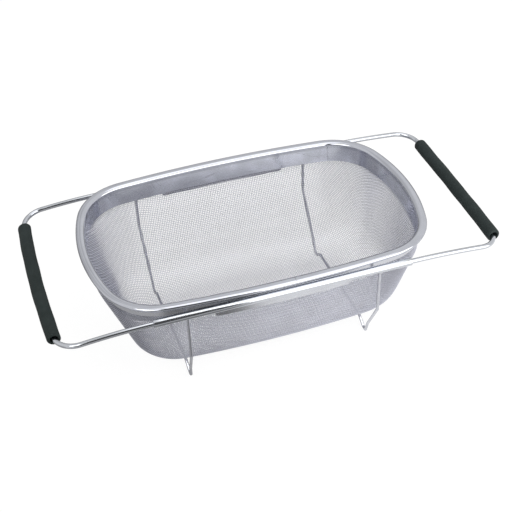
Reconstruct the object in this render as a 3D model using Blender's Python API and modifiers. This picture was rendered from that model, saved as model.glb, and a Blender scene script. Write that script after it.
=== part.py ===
"""Extendable wire-mesh colander that bridges a kitchen sink.

A drawn mesh basket hangs in an oval rolled rim. A straight tube is welded along each long side,
and a U of wire with a soft grip slides out of the two tubes at each end. Two bent wires carry
the tubes, run under the basket and form its four feet.

Metres, +Z up, +X along the long side, -Y towards the rim's seam. The feet stand on Z = 0.
"""
import math

import bmesh
import bpy
from mathutils import Matrix, Vector

# Rim outline from above, along the middle of the rolled bead: an oval of eight tangent arcs
RIM_HALF_LENGTH = 0.1655
RIM_HALF_WIDTH = 0.1023
RIM_SIDE_RADIUS = 1.173
RIM_END_RADIUS = 0.197
RIM_CORNER_RADIUS = 0.0544

# Rim section: an oval bead rolled outwards from a skirt, in thin sheet
BEAD_HEIGHT = 0.1239
BEAD_HALF_WIDTH = 0.0045
BEAD_HALF_THICKNESS = 0.0026
BEAD_ROLL_DEGREES = 262.0
SHEET_THICKNESS = 0.0004
SKIRT_DROP = 0.0198
SEAM_PLACE = 0.0100
SEAM_GAP = 0.0003
CORE_WIRE_RADIUS = 0.0015
CORE_RISE = 0.0002
CORE_PLACE_SHARE = 0.333

# Outer band that clamps the edge of the mesh, and the plates below it on the long sides
BAND_TOP_DROP = 0.0012
BAND_DROP = 0.0120
PLATE_HALF_LENGTH = 0.0660
PLATE_DROP = 0.0243
PLATE_CORNER_RADIUS = 0.0030

# Mesh basket
MESH_THICKNESS = 0.0006
WALL_DROP = 0.0243
BASKET_UNDERSIDE = 0.0110
SIDE_TAPER_DEGREES = 20.0
SIDE_BEND_RADIUS = 0.0350
LEFT_TAPER_DEGREES = 20.0
RIGHT_TAPER_DEGREES = 13.0
END_BEND_RADIUS = 0.0400
LEFT_CORNER_RADIUS = 0.0380
RIGHT_CORNER_RADIUS = 0.0370
WIDEST_CORNER_SHARE = 0.92

# Plain grid of openings in the basket, for the much finer openings of its mesh
BAR_HALF_WIDTH = 0.0030
BAR_FACET_SHARE = 0.25
WALL_ROWS = 3
FLOOR_COLUMNS = 7
FLOOR_ROWS = 3
FLOOR_LENGTH_SHARE = 0.80
FLOOR_WIDTH_SHARE = 0.80

# Slide tubes
TUBE_RADIUS = 0.0039
TUBE_WALL = 0.0004
TUBE_HALF_LENGTH = 0.1249
TUBE_DROP = 0.0092
DIMPLE_FROM_MOUTH = 0.0120
DIMPLE_RADIUS = 0.0010
DIMPLE_DEPTH = 0.0006

# Handles
ARM_RADIUS = 0.0024
ARM_REST_DROP = 0.0003
TIP_STANDOFF = 0.0055
LEFT_CLOSING = 0.0200
RIGHT_CLOSING = 0.0289
ARM_BEND_RADIUS = 0.0200
ARM_DROOP = 0.0057
LEFT_REACH = 0.2105
RIGHT_REACH = 0.2194
LEFT_BOW = 0.0040
RIGHT_BOW = 0.0010
TIP_LENGTH = 0.0060
TIP_HALF_WIDTH = 0.0031
TIP_HALF_HEIGHT = 0.0018

# Grips
GRIP_RADIUS = 0.0066
GRIP_HALF_LENGTH = 0.0850
LEFT_GRIP_SHIFT = -0.0024
RIGHT_GRIP_SHIFT = -0.0055
GRIP_END_ROUNDING = 0.0018
GRIP_MOUTH_RADIUS = 0.0040
GRIP_MOUTH_DEPTH = 0.0062

# Leg wires
LEG_RADIUS = 0.0015
LEG_FROM_MOUTH = 0.0317
LEG_KNEE_DROP = 0.0513
LEG_BEND_PLACE = 0.0750
LEG_BEND_HEIGHT = 0.0175
FOOT_OUTER_PLACE = 0.0675
FOOT_INNER_PLACE = 0.0620
LEG_INNER_PLACE = 0.0525
LEG_BEND_RADIUS = 0.0060
FOOT_BEND_RADIUS = 0.0025
FRONT_FOOT_LEAN = 0.0055
REAR_FOOT_LEAN = 0.0018
FOOT_FLAT_DEPTH = 0.0003

# Clearances
SEAT_GAP = 0.0003
CUT_OVERRUN = 0.0020
WELD_DISTANCE = 0.000002

# Facets
SHARP_DEGREES = 40.0
END_STEPS = 4
CORNER_STEPS = 6
SIDE_STEPS = 3
BEAD_STEPS = 10
BEND_STEPS = 4
TUBE_SIDES = 24
DIMPLE_SIDES = 8
PLATE_STEPS = 12
PLATE_CORNER_SHARES = (0.0, 0.5, 0.866, 1.0)
ARM_BEND_STEPS = 8
ARM_RUN_SHARES = (0.25, 0.5, 0.75)
BAR_SHARES = (-0.75, -0.5, -0.25, 0.0, 0.25, 0.5, 0.75)
GRIP_SHARES = (-1.0, -0.8, -0.6, -0.4, -0.2, 0.0, 0.2, 0.4, 0.6, 0.8, 1.0)
LEG_BEND_STEPS = 4
ARM_RESOLUTION = 3
GRIP_RESOLUTION = 5
BORE_RESOLUTION = 4
LEG_RESOLUTION = 2

# Sizes that follow from the ones above
SKIRT_OUTSIDE = BEAD_HALF_WIDTH - SHEET_THICKNESS
MESH_INSIDE = SKIRT_OUTSIDE - SEAT_GAP
MESH_OUTSIDE = MESH_INSIDE - MESH_THICKNESS
BAND_INSIDE = MESH_OUTSIDE - SEAT_GAP
BAND_OUTSIDE = BAND_INSIDE - SHEET_THICKNESS
BAND_FACE = RIM_HALF_WIDTH - BAND_OUTSIDE
TUBE_PLACE = BAND_FACE + SEAT_GAP + TUBE_RADIUS
BORE_RADIUS = TUBE_RADIUS - TUBE_WALL
TUBE_HEIGHT = BEAD_HEIGHT - TUBE_DROP
ARM_HEIGHT = TUBE_HEIGHT - ARM_REST_DROP
LEG_KNEE_HEIGHT = TUBE_HEIGHT - LEG_KNEE_DROP
GRIP_BORE_RADIUS = ARM_RADIUS + SEAT_GAP
LEFT_TIP = TIP_STANDOFF + LEFT_CLOSING
RIGHT_TIP = TIP_STANDOFF + RIGHT_CLOSING
LEG_PLACE = TUBE_HALF_LENGTH - LEG_FROM_MOUTH
FRAME_SHIFT = (LEFT_REACH + LEFT_BOW - RIGHT_REACH - RIGHT_BOW) / 2


def clear_scene():
    for old in list(bpy.data.objects):
        bpy.data.objects.remove(old, do_unlink=True)


def make_collection(name):
    collection = bpy.data.collections.new(name)
    bpy.context.scene.collection.children.link(collection)
    return collection


def make_material(name, colour, roughness, metallic):
    material = bpy.data.materials.new(name)
    material.use_nodes = True
    shader = material.node_tree.nodes["Principled BSDF"]
    shader.inputs["Base Color"].default_value = (*colour, 1.0)
    shader.inputs["Roughness"].default_value = roughness
    shader.inputs["Metallic"].default_value = metallic
    return material


def add_empty(name, parent=None, location=(0.0, 0.0, 0.0)):
    empty = bpy.data.objects.new(name, None)
    parts.objects.link(empty)
    empty.parent = parent
    empty.location = location
    return empty


def add_part(name, mesh, finish, parent, location=(0.0, 0.0, 0.0)):
    part = bpy.data.objects.new(name, mesh)
    parts.objects.link(part)
    part.parent = parent
    part.location = location
    mesh.name = name
    mesh.materials.clear()
    mesh.materials.append(make_material(name, *finish))
    mesh.shade_smooth()
    mesh.set_sharp_from_angle(angle=math.radians(SHARP_DEGREES))
    return part


def add_cutter(name, mesh, location=(0.0, 0.0, 0.0)):
    cutter = bpy.data.objects.new(name, mesh)
    cutters.objects.link(cutter)
    cutter.location = location
    cutter.hide_render = True
    cutter.display_type = "WIRE"
    return cutter


def apply_modifiers(mesh, build):
    """The mesh after the modifiers that build() adds to an object holding it."""
    holder = bpy.data.objects.new("holder", mesh)
    parts.objects.link(holder)
    build(holder)
    bpy.context.view_layer.update()
    graph = bpy.context.evaluated_depsgraph_get()
    result = bpy.data.meshes.new_from_object(holder.evaluated_get(graph))
    bpy.data.objects.remove(holder, do_unlink=True)
    bpy.data.meshes.remove(mesh)
    return result


def combine(mesh, other, operation):
    """One mesh joined to another or cut by it."""
    tool = add_cutter("tool", other)

    def build(holder):
        boolean = holder.modifiers.new("combine", "BOOLEAN")
        boolean.operation = operation
        boolean.solver = "EXACT"
        boolean.object = tool

    result = apply_modifiers(mesh, build)
    bpy.data.objects.remove(tool, do_unlink=True)
    bpy.data.meshes.remove(other)
    return result


def curve_to_mesh(curve):
    """The welded mesh of a bevelled or filled curve, with its caps closed."""
    holder = bpy.data.objects.new("holder", curve)
    parts.objects.link(holder)
    bpy.context.view_layer.update()
    graph = bpy.context.evaluated_depsgraph_get()
    mesh = bpy.data.meshes.new_from_object(holder.evaluated_get(graph))
    bpy.data.objects.remove(holder, do_unlink=True)
    bpy.data.curves.remove(curve)
    cage = bmesh.new()
    cage.from_mesh(mesh)
    bmesh.ops.remove_doubles(cage, verts=cage.verts, dist=WELD_DISTANCE)
    bmesh.ops.recalc_face_normals(cage, faces=cage.faces)
    cage.to_mesh(mesh)
    cage.free()
    return mesh


def poly_curve(points, closed=False, flat=False, radii=None):
    curve = bpy.data.curves.new("path", "CURVE")
    curve.dimensions = "2D" if flat else "3D"
    spline = curve.splines.new("POLY")
    spline.points.add(len(points) - 1)
    for index, place in enumerate(points):
        spline.points[index].co = (*place, 1.0)
        if radii:
            spline.points[index].radius = radii[index]
    spline.use_cyclic_u = closed
    return curve


def wire_mesh(points, radius, resolution, closed=False, radii=None):
    """A round wire along the points; radii are shares of its radius at each point."""
    curve = poly_curve(points, closed=closed, radii=radii)
    curve.bevel_depth = radius
    curve.bevel_resolution = resolution
    curve.use_fill_caps = not closed
    return curve_to_mesh(curve)


def swept_mesh(path, profile, closed):
    """A closed outline swept along a level path; the outline's x points outwards and y up."""
    section = poly_curve([(x, y, 0.0) for x, y in profile], closed=True, flat=True)
    section_holder = bpy.data.objects.new("section", section)
    cutters.objects.link(section_holder)
    curve = poly_curve([(x, y, 0.0) for x, y in path], closed=closed)
    curve.twist_mode = "Z_UP"
    curve.bevel_mode = "OBJECT"
    curve.bevel_object = section_holder
    curve.use_fill_caps = not closed
    mesh = curve_to_mesh(curve)
    bpy.data.objects.remove(section_holder, do_unlink=True)
    bpy.data.curves.remove(section)
    return mesh


def arc(centre, radius, start, end, steps):
    """Points along an arc, both ends included; angles in radians."""
    points = []
    for step in range(steps + 1):
        angle = start + (end - start) * step / steps
        points.append((centre[0] + radius * math.cos(angle), centre[1] + radius * math.sin(angle)))
    return points


def oval(half_length, half_width, side_radius, end_radius, corner_radius):
    """Points round an oval of tangent arcs, anticlockwise from the middle of its +X end."""
    end_centre = Vector((half_length - end_radius, 0.0))
    side_centre = Vector((0.0, half_width - side_radius))
    from_end = end_radius - corner_radius
    from_side = side_radius - corner_radius
    between = side_centre - end_centre
    along = (from_end ** 2 - from_side ** 2 + between.length_squared) / (2 * between.length)
    across = math.sqrt(from_end ** 2 - along ** 2)
    direction = between.normalized()
    corner = end_centre + direction * along + Vector((-direction.y, direction.x)) * across
    other = end_centre + direction * along - Vector((-direction.y, direction.x)) * across
    corner = max((corner, other), key=lambda place: place.x + place.y)
    end_angle = math.atan2(corner.y - end_centre.y, corner.x - end_centre.x)
    side_angle = math.atan2(corner.y - side_centre.y, corner.x - side_centre.x)
    quarter = arc(end_centre, end_radius, 0.0, end_angle, END_STEPS)
    quarter += arc(corner, corner_radius, end_angle, side_angle, CORNER_STEPS)[1:]
    quarter += arc(side_centre, side_radius, side_angle, math.pi / 2, SIDE_STEPS)[1:]
    second = [(-x, y) for x, y in reversed(quarter[:-1])]
    half = quarter + second
    return half + [(x, -y) for x, y in reversed(half[1:-1])]


def rim_oval(inset=0.0):
    """The rim's outline, drawn in by the inset."""
    return oval(RIM_HALF_LENGTH - inset, RIM_HALF_WIDTH - inset, RIM_SIDE_RADIUS - inset,
                RIM_END_RADIUS - inset, RIM_CORNER_RADIUS - inset)


def seamed(loop):
    """The loop opened at the seam in the middle of its front side."""
    left = SEAM_PLACE - SEAM_GAP / 2
    right = SEAM_PLACE + SEAM_GAP / 2
    front = [place for place in loop if place[1] < 0.0]
    after = min((place for place in front if place[0] > right), key=lambda place: place[0])
    before = max((place for place in front if place[0] < left), key=lambda place: place[0])
    first = loop.index(after)
    around = loop[first:] + loop[:first]

    def on_front(x):
        share = (x - before[0]) / (after[0] - before[0])
        return (x, before[1] + (after[1] - before[1]) * share)

    return [on_front(right)] + around + [on_front(left)]


def bead_outline():
    """Section of the rim sheet: skirt, then the bead rolled outwards and under."""
    faces = ([], [])
    half_sheet = SHEET_THICKNESS / 2
    long_axis = BEAD_HALF_WIDTH - half_sheet
    short_axis = BEAD_HALF_THICKNESS - half_sheet
    for side, face in zip((1, -1), faces):
        offset = side * half_sheet
        face.append((-long_axis - offset, -SKIRT_DROP))
        for step in range(BEAD_STEPS + 1):
            angle = math.radians(BEAD_ROLL_DEGREES) * step / BEAD_STEPS
            normal = Vector((-math.cos(angle) / long_axis, math.sin(angle) / short_axis)).normalized()
            place = Vector((-long_axis * math.cos(angle), short_axis * math.sin(angle)))
            face.append(tuple(place + normal * offset))
    return faces[0] + list(reversed(faces[1]))


def make_rim():
    path = seamed(rim_oval())
    band = swept_mesh(path, bead_outline(), closed=False)
    add_part("rim_band", band, STEEL, body, (0.0, 0.0, BEAD_HEIGHT))
    outline = rim_oval(-BEAD_HALF_WIDTH * CORE_PLACE_SHARE)
    core = wire_mesh([(x, y, 0.0) for x, y in outline], CORE_WIRE_RADIUS, LEG_RESOLUTION, closed=True)
    add_part("rim_core_wire", core, WIRE_STEEL, body, (0.0, 0.0, BEAD_HEIGHT + CORE_RISE))


def sheet_section(top, bottom):
    """Section of the sheet outside the mesh, between two heights."""
    return [(-BAND_OUTSIDE, -top), (-BAND_OUTSIDE, -bottom), (-BAND_INSIDE, -bottom), (-BAND_INSIDE, -top)]


def make_outer_band():
    band = swept_mesh(rim_oval(), sheet_section(BAND_TOP_DROP, BAND_DROP), closed=True)
    add_part("rim_outer_band", band, STEEL, body, (0.0, 0.0, BEAD_HEIGHT))


def make_plates():
    """Curved plates below the band on the long sides, their lower corners rounded."""
    edge = PLATE_HALF_LENGTH - PLATE_CORNER_RADIUS
    stations = [edge * (2 * step / PLATE_STEPS - 1) for step in range(1, PLATE_STEPS)]
    for share in PLATE_CORNER_SHARES:
        stations += [edge + PLATE_CORNER_RADIUS * share, -edge - PLATE_CORNER_RADIUS * share]
    stations.sort()
    section = sheet_section(BAND_DROP + SEAT_GAP, PLATE_DROP)
    low = (-PLATE_DROP - BAND_DROP) / 2
    for name, side in (("front_tube_plate", -1), ("rear_tube_plate", 1)):
        path = []
        for station in stations:
            sweep = -side * station / RIM_SIDE_RADIUS
            height = RIM_SIDE_RADIUS * math.cos(sweep) + RIM_HALF_WIDTH - RIM_SIDE_RADIUS
            path.append((RIM_SIDE_RADIUS * math.sin(sweep), side * height))
        mesh = swept_mesh(path, section, closed=False)
        for vertex in mesh.vertices:
            place = RIM_SIDE_RADIUS * math.asin(vertex.co.x / (RIM_SIDE_RADIUS - BAND_INSIDE))
            past = min(PLATE_CORNER_RADIUS, max(0.0, abs(place) - edge))
            if vertex.co.z < low:
                rise = PLATE_CORNER_RADIUS - math.sqrt(PLATE_CORNER_RADIUS ** 2 - past ** 2)
                vertex.co.z += rise
        add_part(name, mesh, STEEL, body, (0.0, 0.0, BEAD_HEIGHT))


def wall_inset(height, taper_degrees, bend_radius):
    """How far the basket's outer face lies inside the rim's outline at a height."""
    taper = math.radians(taper_degrees)
    bend_top = BASKET_UNDERSIDE + bend_radius * (1 - math.sin(taper))
    wall_top = BEAD_HEIGHT - WALL_DROP
    if height >= wall_top:
        return MESH_OUTSIDE
    at_bend = MESH_OUTSIDE + math.tan(taper) * (wall_top - bend_top)
    if height >= bend_top:
        return MESH_OUTSIDE + math.tan(taper) * (wall_top - height)
    bend = math.asin(min(1.0, (BASKET_UNDERSIDE + bend_radius - height) / bend_radius))
    return at_bend + bend_radius * (math.cos(taper) - math.cos(bend))


def basket_loop(height, taper_degrees, bottom_corner):
    """The basket's outer outline at a height, for one end's taper and bottom corner."""
    side = wall_inset(height, SIDE_TAPER_DEGREES, SIDE_BEND_RADIUS)
    end = wall_inset(height, taper_degrees, END_BEND_RADIUS)
    wall_top = BEAD_HEIGHT - WALL_DROP
    share = min(1.0, max(0.0, (wall_top - height) / (wall_top - BASKET_UNDERSIDE)))
    top_corner = RIM_CORNER_RADIUS - MESH_OUTSIDE
    half_width = RIM_HALF_WIDTH - side
    corner = top_corner + (bottom_corner - top_corner) * share
    corner = min(corner, half_width * WIDEST_CORNER_SHARE)
    return oval(RIM_HALF_LENGTH - end, half_width, RIM_SIDE_RADIUS - side, RIM_END_RADIUS - end, corner)


def grid_spans():
    """Facets under each opening round the basket: two at the ends and corners, one on the sides."""
    quarter = [2] * ((END_STEPS + CORNER_STEPS) // 2) + [1] * SIDE_STEPS
    return quarter + quarter[::-1] + quarter + quarter[::-1]


def bar_edge(bar, beside):
    """The edge of an upright bar on the facet that runs from the bar's middle to the next point."""
    run = beside - bar
    return bar + run * min(BAR_FACET_SHARE, BAR_HALF_WIDTH / run.length)


def barred_loop(loop):
    """The loop with the edges of the upright bars added, one bar at the start of each span."""
    points = []
    start = 0
    for span in grid_spans():
        stops = [Vector(loop[(start + step) % len(loop)]) for step in range(span + 1)]
        points += [stops[0], bar_edge(stops[0], stops[1])]
        points += stops[1:-1] + [bar_edge(stops[-1], stops[-2])]
        start += span
    return points


def basket_rows():
    """Heights of the basket's rings from the top down, and whether openings lie below each."""
    wall_top = BEAD_HEIGHT - WALL_DROP
    taper = math.radians(RIGHT_TAPER_DEGREES)
    sweep = math.pi / 2 - taper
    bend_top = BASKET_UNDERSIDE + END_BEND_RADIUS * (1 - math.sin(taper))
    rows = [(BEAD_HEIGHT - BAND_TOP_DROP, False), (wall_top, False)]
    pitch = (wall_top - bend_top) / WALL_ROWS
    for row in range(WALL_ROWS):
        top = wall_top - pitch * row
        rows += [(top - BAR_HALF_WIDTH, True), (top - pitch + BAR_HALF_WIDTH, False)]
    edge = BAR_HALF_WIDTH / (END_BEND_RADIUS * sweep)
    turns = []
    for step in range(0, BEND_STEPS, 2):
        turns += [(step / BEND_STEPS, False), (step / BEND_STEPS + edge, True)]
        turns += [((step + 1) / BEND_STEPS, True), ((step + 2) / BEND_STEPS - edge, False)]
    for share, is_open in turns + [(1.0, False)]:
        angle = taper + sweep * share
        rows.append((BASKET_UNDERSIDE + END_BEND_RADIUS * (1 - math.sin(angle)), is_open))
    return rows


def floor_openings():
    """Blocks through the flat bottom of the basket, one for each of its openings."""
    end = wall_inset(BASKET_UNDERSIDE, LEFT_TAPER_DEGREES, END_BEND_RADIUS)
    side = wall_inset(BASKET_UNDERSIDE, SIDE_TAPER_DEGREES, SIDE_BEND_RADIUS)
    length = 2 * (RIM_HALF_LENGTH - end) * FLOOR_LENGTH_SHARE
    width = 2 * (RIM_HALF_WIDTH - side) * FLOOR_WIDTH_SHARE
    along = length / FLOOR_COLUMNS
    across = width / FLOOR_ROWS
    bar = 2 * BAR_HALF_WIDTH
    height = MESH_THICKNESS + 2 * CUT_OVERRUN
    cage = bmesh.new()
    for column in range(FLOOR_COLUMNS):
        for row in range(FLOOR_ROWS):
            block = bmesh.ops.create_cube(cage, size=1.0)["verts"]
            place = (along * (column + 0.5) - length / 2, across * (row + 0.5) - width / 2,
                     BASKET_UNDERSIDE + MESH_THICKNESS / 2)
            bmesh.ops.scale(cage, verts=block, vec=(along - bar, across - bar, height))
            bmesh.ops.translate(cage, verts=block, vec=place)
    mesh = bpy.data.meshes.new("floor_openings")
    cage.to_mesh(mesh)
    cage.free()
    return mesh


def thicken(holder):
    shell = holder.modifiers.new("thickness", "SOLIDIFY")
    shell.thickness = MESH_THICKNESS
    shell.offset = -1.0
    shell.use_even_offset = True


def make_basket():
    """A drawn bowl: level ovals that close in towards a flat bottom, left open between its bars."""
    open_columns = []
    for span in grid_spans():
        open_columns += [False] + [True] * span + [False]
    cage = bmesh.new()
    rows = basket_rows()
    rings = []
    for height, _ in rows:
        right = basket_loop(height, RIGHT_TAPER_DEGREES, RIGHT_CORNER_RADIUS)
        left = basket_loop(height, LEFT_TAPER_DEGREES, LEFT_CORNER_RADIUS)
        loop = [at_right if at_right[0] > 0.0 else at_left for at_right, at_left in zip(right, left)]
        rings.append([cage.verts.new((*place, height)) for place in barred_loop(loop)])
    for upper, lower, (_, is_open) in zip(rings, rings[1:], rows):
        for index, in_column in enumerate(open_columns):
            if not (is_open and in_column):
                after = (index + 1) % len(upper)
                cage.faces.new((upper[index], lower[index], lower[after], upper[after]))
    cage.faces.new(list(reversed(rings[-1])))
    loose = [vertex for vertex in cage.verts if not vertex.link_faces]
    bmesh.ops.delete(cage, geom=loose, context="VERTS")
    mesh = bpy.data.meshes.new("basket")
    cage.to_mesh(mesh)
    cage.free()
    shell = apply_modifiers(mesh, thicken)
    add_part("mesh_basket", combine(shell, floor_openings(), "DIFFERENCE"), MESH_STEEL, body)


def make_tubes():
    """Open tubes, each with a stop dimple near both mouths on the side that faces the basket."""
    profile = [(TUBE_RADIUS, TUBE_HALF_LENGTH), (TUBE_RADIUS, -TUBE_HALF_LENGTH),
               (BORE_RADIUS, -TUBE_HALF_LENGTH), (BORE_RADIUS, TUBE_HALF_LENGTH)]
    for name, side in (("front_slide_tube", -1), ("rear_slide_tube", 1)):
        mesh = turned_mesh(profile, TUBE_SIDES)
        for end in (-1, 1):
            along = end * (TUBE_HALF_LENGTH - DIMPLE_FROM_MOUTH)
            mesh = combine(mesh, dimple_mesh(-side, along), "UNION")
        tube = add_part(name, mesh, STEEL, body, (0.0, side * TUBE_PLACE, TUBE_HEIGHT))
        tube.rotation_euler = (0.0, math.pi / 2, 0.0)


def dimple_mesh(facing, along):
    """A short peg from the middle of the tube's wall into its bore."""
    length = DIMPLE_DEPTH + TUBE_WALL / 2
    reach = BORE_RADIUS - DIMPLE_DEPTH + length / 2
    cage = bmesh.new()
    bmesh.ops.create_cone(cage, cap_ends=True, segments=DIMPLE_SIDES, radius1=DIMPLE_RADIUS,
                          radius2=DIMPLE_RADIUS, depth=length)
    bmesh.ops.rotate(cage, verts=cage.verts, matrix=Matrix.Rotation(math.pi / 2, 3, "X"))
    bmesh.ops.translate(cage, verts=cage.verts, vec=(0.0, facing * reach, along))
    mesh = bpy.data.meshes.new("dimple")
    cage.to_mesh(mesh)
    cage.free()
    return mesh


def turned_mesh(profile, sides):
    """A closed profile turned about Z; the profile runs down its outer side first."""
    mesh = bpy.data.meshes.new("profile")
    places = [(radius, 0.0, height) for radius, height in profile]
    edges = [(index, (index + 1) % len(places)) for index in range(len(places))]
    mesh.from_pydata(places, edges, [])

    def build(holder):
        turn = holder.modifiers.new("turn", "SCREW")
        turn.axis = "Z"
        turn.steps = sides
        turn.render_steps = sides
        turn.use_merge_vertices = True
        turn.merge_threshold = WELD_DISTANCE

    return apply_modifiers(mesh, build)


def bowed(reach, bow, y):
    """Reach of the cross bar at a place along it."""
    return reach + bow * (1 - (y / TUBE_PLACE) ** 2)


def handle_path(reach, bow, tip):
    """The right-hand handle wire from its front tip to its middle and back to its rear tip."""
    straight = TUBE_PLACE - ARM_BEND_RADIUS
    corner = reach - ARM_BEND_RADIUS
    run_out = corner - TUBE_HALF_LENGTH
    arm = [tip, tip + TIP_LENGTH / 2, tip + TIP_LENGTH, tip + TIP_LENGTH * 2, TUBE_HALF_LENGTH]
    arm += [TUBE_HALF_LENGTH + run_out * share for share in ARM_RUN_SHARES]
    front = [(x, -TUBE_PLACE) for x in arm]
    front += arc((corner, -straight), ARM_BEND_RADIUS, -math.pi / 2, 0.0, ARM_BEND_STEPS)
    bar = [(reach, straight * share) for share in BAR_SHARES]
    plan = front + bar + [(x, -y) for x, y in reversed(front)]
    points = []
    for x, y in plan:
        outwards = max(0.0, x - TUBE_HALF_LENGTH) / (reach - TUBE_HALF_LENGTH)
        points.append((x - reach + bowed(reach, bow, y), y, -ARM_DROOP * outwards ** 2))
    return points


def flatten_tips(mesh, side, tip):
    """Both ends pressed to an oval, wider than the gap beside the stop dimples."""
    for vertex in mesh.vertices:
        inwards = (side * vertex.co.x - tip) / TIP_LENGTH
        flat = min(1.0, max(0.0, 2.0 - inwards))
        if flat > 0.0:
            middle = math.copysign(TUBE_PLACE, vertex.co.y)
            wide = 1 + (TIP_HALF_WIDTH / ARM_RADIUS - 1) * flat
            low = 1 + (TIP_HALF_HEIGHT / ARM_RADIUS - 1) * flat
            vertex.co.y = middle + (vertex.co.y - middle) * wide
            vertex.co.z = vertex.co.z * low


def make_handle(name, side, reach, bow, tip, slip, carrier):
    """Wire and grip of one handle; side is +1 at the right and -1 at the left."""
    path = [(side * x, y, z) for x, y, z in handle_path(reach, bow, tip)]
    wire = wire_mesh(path, ARM_RADIUS, ARM_RESOLUTION)
    flatten_tips(wire, side, tip)
    add_part(name + "_handle_wire", wire, STEEL, carrier)

    edge = GRIP_HALF_LENGTH - GRIP_END_ROUNDING
    mouth = GRIP_HALF_LENGTH - GRIP_MOUTH_DEPTH
    overrun = GRIP_HALF_LENGTH + CUT_OVERRUN
    rings = [GRIP_HALF_LENGTH * share for share in GRIP_SHARES]
    outside = sorted(rings + [-edge, edge])
    inside = sorted([y for y in rings if abs(y) < mouth] + [-overrun, -mouth, mouth, overrun])
    end_share = 1.0 - GRIP_END_ROUNDING / GRIP_RADIUS
    mouth_share = GRIP_MOUTH_RADIUS / GRIP_BORE_RADIUS
    outside_shares = [1.0 if abs(y) <= edge else end_share for y in outside]
    inside_shares = [1.0 if abs(y) <= mouth else mouth_share for y in inside]
    sleeve = [(side * bowed(reach, bow, y + slip), y + slip, -ARM_DROOP) for y in outside]
    bore = [(side * bowed(reach, bow, y + slip), y + slip, -ARM_DROOP) for y in inside]
    grip = wire_mesh(sleeve, GRIP_RADIUS, GRIP_RESOLUTION, radii=outside_shares)
    hole = wire_mesh(bore, GRIP_BORE_RADIUS, BORE_RESOLUTION, radii=inside_shares)
    add_part(name + "_grip", combine(grip, hole, "DIFFERENCE"), GRIP_FOAM, carrier)


def rounded_path(corners, radii, steps):
    """The corners joined by straight runs, each corner replaced by an arc of its radius."""
    points = [Vector(corners[0])]
    for before, corner, after, radius in zip(corners, corners[1:], corners[2:], radii):
        start = (Vector(before) - Vector(corner)).normalized()
        end = (Vector(after) - Vector(corner)).normalized()
        half = start.angle(end) / 2
        centre = Vector(corner) + (start + end).normalized() * (radius / math.sin(half))
        first = Vector(corner) + start * (radius / math.tan(half))
        arm = first - centre
        axis = start.cross(end).normalized()
        turn = math.pi - 2 * half
        for step in range(steps + 1):
            spin = -turn * step / steps
            points.append(centre + arm * math.cos(spin) + axis.cross(arm) * math.sin(spin))
    points.append(Vector(corners[-1]))
    return points


def leg_corners():
    """Half of a leg wire in its plane, from the tube down to the foot and in to the middle."""
    top = TUBE_HEIGHT - TUBE_RADIUS - SEAT_GAP
    under = BASKET_UNDERSIDE - SEAT_GAP - LEG_RADIUS
    foot = LEG_RADIUS - FOOT_FLAT_DEPTH
    return [(TUBE_PLACE, top), (TUBE_PLACE, LEG_KNEE_HEIGHT), (LEG_BEND_PLACE, LEG_BEND_HEIGHT),
            (FOOT_OUTER_PLACE, foot), (FOOT_INNER_PLACE, foot), (LEG_INNER_PLACE, under)]


def ground_mesh():
    """A block below the ground, as wide as the legs with the overrun."""
    size = 2 * (TUBE_PLACE + LEG_RADIUS + CUT_OVERRUN)
    cage = bmesh.new()
    bmesh.ops.create_cube(cage, size=size)
    bmesh.ops.translate(cage, verts=cage.verts, vec=(0.0, 0.0, -size / 2))
    mesh = bpy.data.meshes.new("ground")
    cage.to_mesh(mesh)
    cage.free()
    return mesh


def make_legs():
    half = leg_corners()
    fall = LEG_KNEE_HEIGHT - half[3][1]
    corners = []
    for side, lean in ((-1, FRONT_FOOT_LEAN), (1, REAR_FOOT_LEAN)):
        leg = []
        for y, z in half:
            share = min(1.0, max(0.0, (LEG_KNEE_HEIGHT - z) / fall))
            leg.append((lean * share, side * y, z))
        corners += leg if side < 0 else reversed(leg)
    bends = [LEG_BEND_RADIUS, LEG_BEND_RADIUS, FOOT_BEND_RADIUS, FOOT_BEND_RADIUS, LEG_BEND_RADIUS]
    path = rounded_path(corners, bends + bends[::-1], LEG_BEND_STEPS)
    for name, side in (("left_leg_wire", -1), ("right_leg_wire", 1)):
        wire = wire_mesh([tuple(place) for place in path], LEG_RADIUS, LEG_RESOLUTION)
        wire = combine(wire, ground_mesh(), "DIFFERENCE")
        add_part(name, wire, WIRE_STEEL, body, (side * LEG_PLACE, 0.0, 0.0))


STEEL = ((0.62, 0.62, 0.64), 0.12, 1.0)
WIRE_STEEL = ((0.60, 0.60, 0.63), 0.22, 1.0)
MESH_STEEL = ((0.52, 0.52, 0.55), 0.35, 1.0)
GRIP_FOAM = ((0.020, 0.027, 0.027), 0.75, 0.0)

clear_scene()
parts = make_collection("extendable_colander")
cutters = make_collection("cutters")
body = add_empty("colander", location=(FRAME_SHIFT, 0.0, 0.0))
left_slide = add_empty("left_slide", body, (0.0, 0.0, ARM_HEIGHT))
right_slide = add_empty("right_slide", body, (0.0, 0.0, ARM_HEIGHT))
make_basket()
make_rim()
make_outer_band()
make_plates()
make_tubes()
make_legs()
make_handle("left", -1, LEFT_REACH, LEFT_BOW, LEFT_TIP, LEFT_GRIP_SHIFT, left_slide)
make_handle("right", 1, RIGHT_REACH, RIGHT_BOW, RIGHT_TIP, RIGHT_GRIP_SHIFT, right_slide)
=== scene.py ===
"""Extendable colander: a woven wire basket in an oval rolled rim, with wire legs, slide tubes and
handles that slide in them.

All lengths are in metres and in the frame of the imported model.
"""

from math import (asin, atan2, ceil, copysign, cos, degrees, hypot, pi, radians, remainder, sin,
                  sqrt, tan)

import bmesh
import bpy
import numpy as np
from mathutils import Matrix, Vector


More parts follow.
